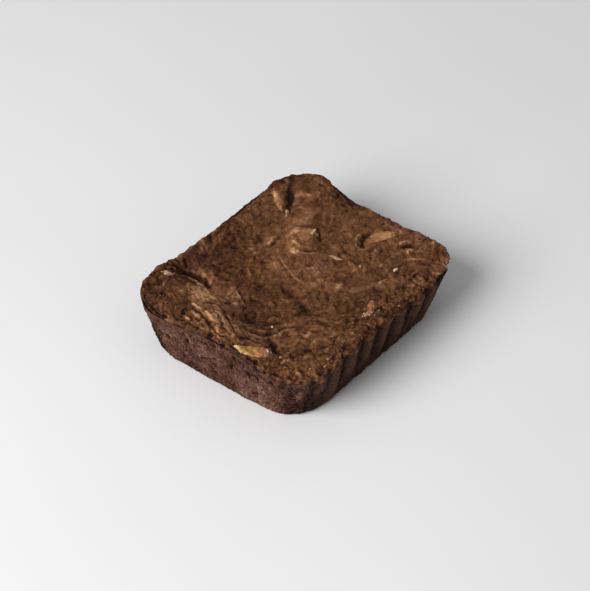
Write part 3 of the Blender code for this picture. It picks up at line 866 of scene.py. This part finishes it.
# Painted highlight and shade of folds and wrinkles: lighter where they rise, darker in their cracks and
# hollows
fold_light_and_shade = np.zeros(len(spots))
rng = np.random.default_rng(21)
for _ in range(WRINKLES):
    x, y = rng.uniform((-48, -42), (48, 42))
    length = rng.uniform(*WRINKLE_LENGTHS)
    width = rng.uniform(*WRINKLE_WIDTHS)
    turn = rng.uniform(0, math.pi)
    length *= 1 + 0.5 * math.cos(turn - WRINKLE_LEAN) ** 2
    curve = rng.uniform(-0.16, 0.16)
    height = rng.choice((1, 1, -1)) * rng.uniform(0.4, 1)
    close = np.nonzero((np.abs(frayed - (x, y)) < length + 4 * width).all(axis=1))[0]
    gap = frayed[close] - (x, y)
    along, across = turned(gap, turn)
    across -= curve * along**2 / length
    fade = np.clip(1 - (along / length) ** 2, 0, 1) * papery[close]
    wrinkle = bell(across / width) - 0.5 * bell((across + 2 * width) / width)
    relief[close] += 0.10 * height * fade * wrinkle
    fold_light_and_shade[close] += (0.8 + 0.5 * crumbly[close]) * height * fade * wrinkle
unevenness = 1 + 0.9 * (1 - 0.8 * flowing) * noise_at(spots, 2.4, 40)
for lines, section in ((FOLDS, bell), (CURLS, curled)):
    for width, height, *line in lines:
        side, share = along_line(line, 4 * width)
        ends_fade = np.sin(np.pi * np.clip(share, 0.02, 0.98)) ** 0.4
        raised = height * ends_fade * section(side / width) * unevenness
        relief += 0.7 * raised
        # The fold's painted highlight and shade in the colour
        fold_light_and_shade += 1.1 * raised
fold_light_and_shade *= 1 + 1.1 * flowing
for x, y, width, depth in BURST_BUBBLES:
    relief -= depth * bell(np.hypot(spots[:, 0] - x, spots[:, 1] - y) / width, 4)

over_edge = (SKIRT_RINGS - rings) * SKIRT_STEP / MM
torn_edge = smooth_step(0.2, 0.9, -rim_out[:, 0])
ragged = 0.9 * noise_at(spots, 1.3, 50) + 0.7 * noise_at(spots, 3.6, 52) + 0.5 * noise_at(spots, 0.8, 53)
on_crest = -np.interp(crust_walk, walked, hollows[-1], period=whole_walk) / FLUTE_CREST
toward_near_side = smooth_step(0.2, 0.9, -rim_out[:, 1])
at_right = smooth_step(0.1, 0.8, rim_out[:, 0])
lip = 2.9 - 0.8 * torn_edge + 0.6 * ragged + toward_near_side * (0.6 + 0.9 * np.clip(on_crest, -1, 1))
lip -= 1.5 * at_right
tuck = smooth_step(-0.4, 0.5, over_edge - lip)
streaks_down = noise_at(rim_point / MM, 1.6, 58) + 0.6 * noise_at(rim_point / MM, 4.0, 59)
past_lip = over_edge - lip + 0.4 - 1.4 * streaks_down * (1 - torn_edge) + torn_edge
past_lip += 1.2 * bulge(-47, -12, 2.5, 6, 0, 2)
bare = smooth_step(-0.5, 0.5, past_lip - ragged)
rim_pits = smooth_step(0.30, 0.10, from_lump(frayed, 1.6, 6)) * bell((over_edge - 0.6) / 1.6) * torn_edge
rim_lumps = 0.35 * noise_at(spots, 1.5, 56) + 0.45 * noise_at(spots, 3.6, 57)
relief += bell(over_edge / 3) * (1 - 0.65 * at_right) * rim_lumps - 0.5 * rim_pits
edge_gouges = gouged(crust_base)
relief = relief * (1 - 0.3 * tuck) - 0.8 * edge_gouges + 0.12 * skirt
over_undercut = np.interp(crust_walk, walked, undercut, period=whole_walk)
relief -= tuck * (0.7 - 0.35 * torn_edge - 0.35 * at_right + UNDERCUT / MM * over_undercut)
net = crust_base.reshape(*grid_shape, 3)
crust_out = np.cross(np.gradient(net, axis=1), np.gradient(net, axis=0))
crust_out = (crust_out / np.linalg.norm(crust_out, axis=2)[:, :, None]).reshape(-1, 3)
skirt_out = np.column_stack([rim_out * np.sin(turn_over)[:, None], np.cos(turn_over)])
on_skirt = smooth_step(0, 1, turn_over)[:, None]
crust_out = (1 - on_skirt) * crust_out + on_skirt * skirt_out
crust_out /= np.linalg.norm(crust_out, axis=1)[:, None]
place_points(crust, crust_base + crust_out * (relief * MM)[:, None])

# Painted light and shade: the skin is lighter where it rises above its surroundings and darker where it sinks
tone = 0.7 * (relief - soften(relief.reshape(grid_shape), 30).ravel()) / 0.22 + fold_light_and_shade
# Lighter over the left swell, with painted highlight on its flow ridges and painted shade in its crevices
tone += flowing * (0.6 + 0.9 * flow)
# Painted highlight on the tops of the crumbly grains and beads, and painted shade between them
tone += crumbly * (1.5 * (0.42 - granules) + 0.7 * (0.45 - beads) + 0.15)
tone += 0.6 * noise_at(bent, 6.5, 70) + 0.5 * noise_at(bent, 2.2, 71, 1.5, 45)
# Each plate and scale of skin has its own random tone; painted shade darkens the creases at their edges
tone += 0.9 * (plate_tone - 0.5) + 0.7 * (scale_tone - 0.5) - 0.5 * plate_edge - 0.25 * scale_edge + 0.12
grain_tone = 0.3 * noise_at(frayed, 1, 72, 1.4, 45)
# Random fine grain, with painted highlight on the fold lines and painted shade in the crack lines and pits
tone += grain_tone + papery * (0.7 * fold_lines - 1.2 * crack_lines) - 1.2 * pit_depth
# Painted shade: darker towards and over the rim, where the skin turns into the window light, and in pits and
# gouges
tone -= 0.6 * smooth_step(-3, 0.3, over_edge) + 1.5 * rim_pits + 1.5 * edge_gouges
tone *= 1 - 0.2 * bulge(16, 14, 34, 24, 0, 2)
# Tone patches: the skin's browning, with painted shade along cracks and in the far-left rim's hollow
for x, y, patch_length, patch_width, turn, amount in BAKED_AND_SHADED["tone"]:
    tone += amount * bulge(x, y, patch_length, patch_width, turn, 1.3)
store(crust, "tone", tone)
store(crust, "bare", bare)
# Golden and rosy shares; the rosy band under the far-left rim is painted shadow
for colour, own in (("golden", plate_tint), ("rosy", 1 - plate_tint)):
    own_share = 0.7 * (own - 0.45) * (0.5 + scale_tint)
    store(crust, colour, np.maximum(strongest(BAKED_AND_SHADED[colour], 1.3), own_share))

close_below(crust, rings == 0, MM, (UNDERSIDE_SIZE, UNDERSIDE_SIZE, 0))
bpy.ops.object.mode_set(mode="OBJECT")
places = points_of(crust)
places[len(crust_base):, 2] = UNDERSIDE_HEIGHT
place_points(crust, places)
crust.data.shade_smooth()

crust_finish = Finish("brownie_crust", 0.62, 0.07)
fine_streaks = crust_finish.pattern(0.0009, 4, 0.6, (1, 0.7, 1), 45)
crust_level = crust_finish.sum_of(
    crust_finish.spread(crust_finish.reading("tone"), -2.6, 2.6),
    crust_finish.spread(fine_streaks, 0.3, 0.7, -0.11, 0.11),
)
skin = crust_finish.ramp(crust_level, SKIN_TONES, PLAIN)
for kind, colours in (("golden", GOLDEN), ("rosy", ROSY)):
    this_skin = crust_finish.ramp(crust_level, SKIN_TONES, colours)
    skin = crust_finish.mix(crust_finish.reading(kind), skin, this_skin)
bare_crumb = crust_finish.ramp(
    crust_level, (0.10, 0.35, 0.55, 0.90), [(26, 13, 9), (54, 32, 24), (74, 46, 34), (98, 65, 50)]
)
crust_finish.colour(crust_finish.mix(crust_finish.reading("bare"), skin, bare_crumb))
crust_finish.bump(fine_streaks, 0.00022, 0.6)
crust.data.materials.append(crust_finish.material)

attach(crust, "root")
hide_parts("brownie")


# ---------------------------------------------------------------------------------------------------------
# THE PIECES OF NUT
# Broken pieces of nut went into the batter. Six of them reach the surface: two lie bare, the others are
# under a film of crust that has baked to tan. Each has a lumpy, grooved face and sharp broken ends.

# Sizes in metres, except for the edge's film and the length of a large nut, which are in millimetres
CROWN_INSET = 0.0009
NUT_EDGE_DIP = 0.00035
NUT_BELOW = 0.0022
NUT_FOOT = 0.85
EDGE_FILM = 1.5
LARGE_NUT = 14
STREAK_LENGTH = 0.005
STREAK_WIDTH = 0.0007

# For each piece: how far it stands out in millimetres, its colours along its length, how much brown film is
# on it, and the outline that it shows, in millimetres, from the end where its colours begin
NUT_PIECES = {
    "nut_left_end": (
        1,
        [(198, 168, 122), (164, 128, 68), (152, 116, 55), (170, 112, 71), (174, 118, 93), (200, 164, 134)],
        0.25,
        [(-45.6, -6.6), (-43.6, -8.6), (-40.6, -11.6), (-38, -14.6), (-36, -17), (-37.6, -18.8),
         (-40.4, -19.6), (-43.6, -18.2), (-45.9, -15), (-46.6, -11)],
    ),
    "nut_near_side": (
        0.7,
        [(178, 136, 114), (160, 112, 86), (156, 102, 66), (152, 100, 60), (132, 98, 62)],
        0.42,
        [(-4.6, -32.6), (-3.4, -34), (-0.6, -35.4), (2.2, -34.4), (5.2, -32), (7.8, -29.8), (6.4, -28.2),
         (4, -28.9), (1.4, -31), (-1.8, -31.8)],
    ),
    "nut_right_end": (
        0.6,
        [(116, 80, 52), (132, 93, 60), (156, 112, 71), (168, 123, 79), (154, 110, 70)],
        0.65,
        [(30.4, -6.2), (33.4, -4.4), (38.8, -5.8), (42.8, -9.6), (43.8, -13), (40.8, -13.8), (36, -11.2),
         (32.4, -8.8)],
    ),
    "nut_far_corner": (
        0.7,
        [(120, 86, 54), (146, 106, 68), (152, 110, 70), (190, 148, 110), (136, 98, 62)],
        0.6,
        [(25, 27.6), (27.6, 27.4), (30.4, 30.2), (32.8, 33.8), (34.2, 38), (32, 38.6), (29.2, 35.2),
         (26.8, 31.4)],
    ),
    # The middle piece's last and palest colour is a painted highlight
    "nut_middle": (
        0.8,
        [(130, 91, 58), (140, 98, 63), (146, 104, 67), (158, 116, 77), (184, 143, 105)],
        0.6,
        [(14.8, 11.2), (17.2, 8.2), (21.6, 7.2), (25.2, 9.6), (25.2, 12.6), (22.2, 14.8), (18, 15.2)],
    ),
    "nut_left_corner": (
        0.9,
        [(200, 166, 140), (192, 158, 130), (172, 136, 108), (146, 108, 78), (122, 86, 58)],
        0.05,
        [(-31.4, 36.4), (-28.9, 39.3), (-27, 36.6), (-24, 32.2), (-27.2, 34.5), (-29.4, 35.4)],
    ),
}

deselect()
crust_surface = rays_onto(crust)


def on_top(surfaces, x, y):
    """The highest place and its direction on some surfaces over a point of the plan, given in millimetres."""
    above = Vector((x * MM, y * MM, cake_high.z + REACH))
    found = [surface.ray_cast(above, DOWN)[:2] for surface in surfaces]
    found = [spot for spot in found if spot[0]]
    return max(found, key=lambda spot: spot[0].z) if found else (None, None)


def gap_to_outline(places, corners):
    """How far each place of the plan is from an outline, in millimetres."""
    nearest = np.full(len(places), np.inf)
    for start, end in zip(np.array(corners), np.roll(corners, -1, axis=0)):
        step = end - start
        share = np.clip((places - start) @ step / (step @ step), 0, 1)
        nearest = np.minimum(nearest, np.linalg.norm(places - start - share[:, None] * step, axis=1))
    return nearest


top_surfaces = [crust_surface]
for name, (rise, colours, film, corners) in NUT_PIECES.items():
    deselect()
    bpy.ops.mesh.primitive_circle_add(vertices=len(corners), radius=1, fill_type="NGON")
    nut = bpy.context.object
    nut.name = name + "_piece"
    edge_places = [on_top([crust_surface], x, y)[0] - Vector((0, 0, NUT_EDGE_DIP)) for x, y in corners]
    if sum(a[0] * b[1] - b[0] * a[1] for a, b in zip(corners, corners[1:] + corners[:1])) < 0:
        edge_places.reverse()
    place_points(nut, np.array(edge_places))
    bpy.ops.object.mode_set(mode="EDIT")
    bpy.ops.mesh.select_all(action="SELECT")
    bpy.ops.mesh.inset(thickness=CROWN_INSET)
    bpy.ops.transform.translate(value=(0, 0, rise * MM))
    bpy.ops.mesh.inset(thickness=CROWN_INSET)
    bpy.ops.transform.translate(value=(0, 0, 0.25 * rise * MM))
    bpy.ops.object.mode_set(mode="OBJECT")
    on_rim = np.arange(len(nut.data.vertices)) < len(corners)
    close_below(nut, on_rim, NUT_BELOW, (NUT_FOOT, NUT_FOOT, 1))
    bpy.ops.mesh.select_all(action="SELECT")
    bpy.ops.mesh.normals_make_consistent(inside=False)
    bpy.ops.mesh.quads_convert_to_tris()
    bpy.ops.object.mode_set(mode="OBJECT")
    for kind, levels in (("SIMPLE", 1), ("CATMULL_CLARK", 4)):
        rounder = nut.modifiers.new("rounder", "SUBSURF")
        rounder.subdivision_type = kind
        rounder.levels = rounder.render_levels = levels
        bpy.ops.object.modifier_apply(modifier="rounder")
    body = points_of(nut)[:, :2]
    size_share = min(1, np.ptp(np.array(corners), axis=0).max() / LARGE_NUT)
    store(nut, "edge", 1 - gap_to_outline(body / MM, corners) / EDGE_FILM)
    displace(nut, name + "_folds", "CLOUDS", 0.0040, 0.0010 * film)
    displace(nut, name + "_facets", "VORONOI", 0.0026, 0.0006 * size_share * (1 - film))
    displace(nut, name + "_lumps", "CLOUDS", 0.0018, (0.0010 - 0.0006 * film) * size_share)
    displace(nut, name + "_grooves", "STUCCI", 0.0011, 0.0002 * (1 - 0.7 * film), turbulence=6)
    centre = body.mean(axis=0)
    _, axes = np.linalg.eigh(np.cov((body - centre).T))
    long_way = axes[:, 1] * (1 if (np.array(corners[0]) * MM - centre) @ axes[:, 1] < 0 else -1)
    reach_along = (body - centre) @ long_way
    store(nut, "along", reach_along / np.abs(reach_along).max())
    reach_across = (body - centre) @ axes[:, 0]
    streak_places = zip(reach_along / STREAK_LENGTH, reach_across / STREAK_WIDTH)
    store(nut, "streak", [noise.noise((a, b, len(name))) for a, b in streak_places])
    finish = Finish(name + "_finish", 0.5 + 0.1 * film, 0.3 - 0.15 * film)
    grain = finish.pattern(0.0012, 4, 0.6)
    place_along = finish.spread(finish.reading("along"), -1, 1)
    place_along = finish.sum_of(place_along, finish.spread(grain, 0.3, 0.7, -0.12, 0.12))
    place_along = finish.sum_of(place_along, finish.spread(finish.reading("streak"), -1, 1, -0.22, 0.22))
    meat = finish.ramp(place_along, np.linspace(0.04, 0.96, len(colours)), colours)
    speckle = finish.spread(finish.pattern(0.0012, 3), 0.52, 0.66, 0, 0.45 + 0.35 * film)
    meat = finish.mix(speckle, meat, finish.mix(1.0, meat, paint(190, 150, 124), "MULTIPLY"))
    at_edge = finish.spread(finish.reading("edge"), 0.1, 1.0, -0.1, 0.40 * film)
    film_spots = finish.sum_of(finish.pattern(0.0020, 4), at_edge)
    film_streaks = finish.spread(finish.reading("streak"), -1, 1, -0.4 * film, 0.4 * film)
    film_spots = finish.sum_of(film_spots, film_streaks)
    film_cover = finish.spread(film_spots, 0.60 - 0.14 * film, 0.70 + 0.06 * film, 0, 0.9)
    finish.colour(finish.mix(film_cover, meat, paint(106, 70, 42)))
    finish.bump(grain, 0.0002, 0.5)
    nut.data.materials.append(finish.material)
    nut.data.shade_smooth()
    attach(nut, "root")
    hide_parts(name)
    bpy.context.view_layer.update()
    top_surfaces.append(rays_onto(nut))


# ---------------------------------------------------------------------------------------------------------
# THE FLECKS AND CRUMBS
# Small chips of nut show as pale flecks in the crust, and loose grains of cake cling to its crumbly edges.
# Each is a rough little lump, half sunk.

# In millimetres: place, length, width and turn, and how pale it is, 0 to 1
FLECKS = [
    (-25.3, -8.8, 1.2, 0.8, 35, 0.65), (-37.6, -22.6, 1.1, 0.8, 0, 0.45), (26.4, -24.8, 2.6, 1.2, 0, 0.7),
    (20.7, -12.9, 2, 0.9, 20, 0.4), (18.5, -3, 6.6, 1.4, 101, 0.4),
    (6.5, -6.5, 1.1, 0.8, 45, 0.4), (8.6, -39.6, 0.9, 0.7, 0, 0.2), (27, 26.5, 2.6, 1.3, 40, 0.45),
    # The pale fleck at 22.8, 10.6 is a painted highlight on the middle piece
    (25, 25, 2, 1, 40, 0.35), (22.8, 10.6, 4, 1.5, 8, 0.5), (10, 9.7, 3, 1.3, 95, 0.45),
    (-3.5, -32.8, 1.2, 0.8, 30, 0.3), (-2, -32.3, 1.5, 0.9, 60, 0.4), (-1.8, -34.6, 1.2, 0.8, 0, 0.35),
    (-0.6, -36, 1.2, 0.7, 20, 0.2), (2.4, -35.4, 0.9, 0.6, 0, 0.3), (-29.5, -37.4, 1.6, 1.2, 0, 0.2),
    (-32.6, -38.6, 1.5, 0.9, 0, 0.3), (-38.6, -17.6, 1.8, 0.8, 60, 0.7), (-37.6, -18.2, 1.6, 0.8, 50, 0.6),
    (39.6, -17.8, 2, 1.2, 0, 0.25), (31.2, 34.3, 1.6, 1.2, 60, 0.3),
]
FLECK_HEIGHT = 0.3

# Loose grains: how many lie on the crust and on the left end's wall, their least and greatest size in
# millimetres, and the stretch of that wall that they cling to, in metres
CRUMB_COUNT = 520
WALL_CRUMB_COUNT = 160
CRUMB_SIZES = (0.35, 0.8)
OUTSIDE_LEFT_END = -0.06
WALL_ACROSS = (-0.036, 0.036)
WALL_UP = (0.002, 0.019)

# Where loose grains lie on the crust, in millimetres: middle and spread along and across
CRUMBLY_SPOTS = [(-41, -29, 5, 8), (-24, -37, 14, 3), (12, -38, 16, 2), (-42, 28, 4, 7), (-45, 4, 2, 14),
                 (0, -33, 6, 4)]

rng = np.random.default_rng(8)


def grain_mesh(name, grains, subdivisions):
    """One piece of many rough lumps; each grain is a place, three sizes, a turn in degrees and a tone."""
    deselect()
    bpy.ops.mesh.primitive_ico_sphere_add(subdivisions=subdivisions, radius=0.5)
    lump = bpy.context.object
    lump.name = name
    ball = points_of(lump)
    corners = np.array([face.vertices[:] for face in lump.data.polygons])
    places, faces, tones = [], [], []
    for place, sizes, turn, tone in grains:
        rough = ball * (1 + 0.35 * (rng.random((len(ball), 1)) - 0.5))
        sine = math.sin(math.radians(turn))
        cosine = math.cos(math.radians(turn))
        spin = np.array([[cosine, sine, 0], [-sine, cosine, 0], [0, 0, 1]])
        faces.append(corners + len(ball) * len(places))
        places.append((rough * sizes) @ spin + np.array(place))
        tones.append(np.full(len(ball), tone))
    mesh = bpy.data.meshes.new(name)
    mesh.from_pydata(np.vstack(places).tolist(), [], np.vstack(faces).tolist())
    lump.data = mesh
    store(lump, "tone", np.concatenate(tones))
    mesh.shade_smooth()
    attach(lump, "root")
    return lump


def mottle(piece, finish, speck, tones, colours):
    """Gives small lumps a mottled colour that follows each one's own tone."""
    specks = finish.spread(finish.pattern(speck, 3), 0.3, 0.7, -0.2, 0.2)
    tone = finish.sum_of(finish.reading("tone"), specks)
    finish.colour(finish.ramp(tone, tones, colours))
    piece.data.materials.append(finish.material)


fleck_grains = []
for x, y, length, width, turn, paleness in FLECKS:
    place, _ = on_top(top_surfaces, x, y)
    sizes = np.array([length, width, FLECK_HEIGHT + 0.3 * width]) * MM
    fleck_grains.append((place, sizes, turn, paleness))
flecks = grain_mesh("nut_flecks", fleck_grains, 3)
displace(flecks, "fleck_lumps", "CLOUDS", 0.0008, 0.0006)
fleck_colours = [(112, 78, 52), (160, 120, 92), (206, 170, 138), (240, 216, 188)]
mottle(flecks, Finish("nut_fleck", 0.5, 0.3), 0.0007, (0, 0.4, 0.7, 1), fleck_colours)

crumb_grains = []
while len(crumb_grains) < CRUMB_COUNT:
    x, y, spread_x, spread_y = CRUMBLY_SPOTS[rng.integers(len(CRUMBLY_SPOTS))]
    x += spread_x * rng.standard_normal()
    y += spread_y * rng.standard_normal()
    place, normal = on_top([crust_surface], x, y)
    if place is None or normal.z < 0.5:
        continue
    size = rng.uniform(*CRUMB_SIZES)
    sizes = np.array([size * rng.uniform(0.8, 1.4), size, 0.8 * size]) * MM
    crumb_grains.append((place, sizes, rng.uniform(0, 360), rng.random()))
crumb_wall = rays_onto(crumb)
while len(crumb_grains) < CRUMB_COUNT + WALL_CRUMB_COUNT:
    start = Vector((OUTSIDE_LEFT_END, rng.uniform(*WALL_ACROSS), rng.uniform(*WALL_UP)))
    place = crumb_wall.ray_cast(start, Vector((1, 0, 0)))[0]
    if place is not None:
        size = 0.6 * rng.uniform(*CRUMB_SIZES)
        crumb_grains.append((place, np.full(3, size) * MM, rng.uniform(0, 360), rng.uniform(0.4, 1.2)))
grains = grain_mesh("crust_crumbs", crumb_grains, 1)
grain_colours = [(46, 28, 18), (80, 51, 32), (122, 85, 56)]
mottle(grains, Finish("crust_crumb", 0.7, 0.07), 0.0006, (0, 0.5, 1), grain_colours)


# ---------------------------------------------------------------------------------------------------------
# THE STUDIO
# A plain pale table, a large soft window light from beyond the left end and a weak even light from all round.

# Places and sizes in metres, the lens in millimetres and the window light's power in watts
CAMERA_PLACE = Vector((-0.5988, -0.4781, 0.6805))
CAMERA_AIM = Vector((-0.0004, 0.0007, 0.0110))
CAMERA_LENS = 169.9
TABLE_SIZE = 4
WINDOW_FROM = Vector((-0.797, 0.188, 0.574))
WINDOW_DISTANCE = 1.3
WINDOW_SIZE = 1.02
WINDOW_POWER = 22
ROOM_BRIGHTNESS = 0.355

deselect()
bpy.ops.mesh.primitive_plane_add(size=TABLE_SIZE, location=(0, 0, 0))
table = bpy.context.object
table.name = "table"
table_finish = Finish("pale_table", 0.6, 0.3)
table_cloud = table_finish.pattern(0.15, 2)
table_finish.colour(table_finish.ramp(table_cloud, (0.3, 0.7), [(226, 226, 227), (230, 230, 231)]))
table.data.materials.append(table_finish.material)

deselect()
bpy.ops.object.light_add(type="AREA", location=WINDOW_FROM * WINDOW_DISTANCE)
window = bpy.context.object
window.name = "window_light"
window.data.shape = "DISK"
window.data.size = WINDOW_SIZE
window.data.energy = WINDOW_POWER
window.rotation_euler = WINDOW_FROM.to_track_quat("Z", "Y").to_euler()

room_light = bpy.data.worlds.new("room_light")
room_light.use_nodes = True
backdrop = room_light.node_tree.nodes["Background"]
backdrop.inputs["Color"].default_value = (1, 1, 1, 1)
backdrop.inputs["Strength"].default_value = ROOM_BRIGHTNESS
bpy.context.scene.world = room_light

deselect()
bpy.ops.object.camera_add(location=CAMERA_PLACE)
camera = bpy.context.object
camera.name = "camera"
camera.rotation_euler = (CAMERA_PLACE - CAMERA_AIM).to_track_quat("Z", "Y").to_euler()
camera.data.lens = CAMERA_LENS
camera.data.clip_start = 0.05
bpy.context.scene.camera = camera
bpy.context.scene.view_settings.view_transform = "Standard"
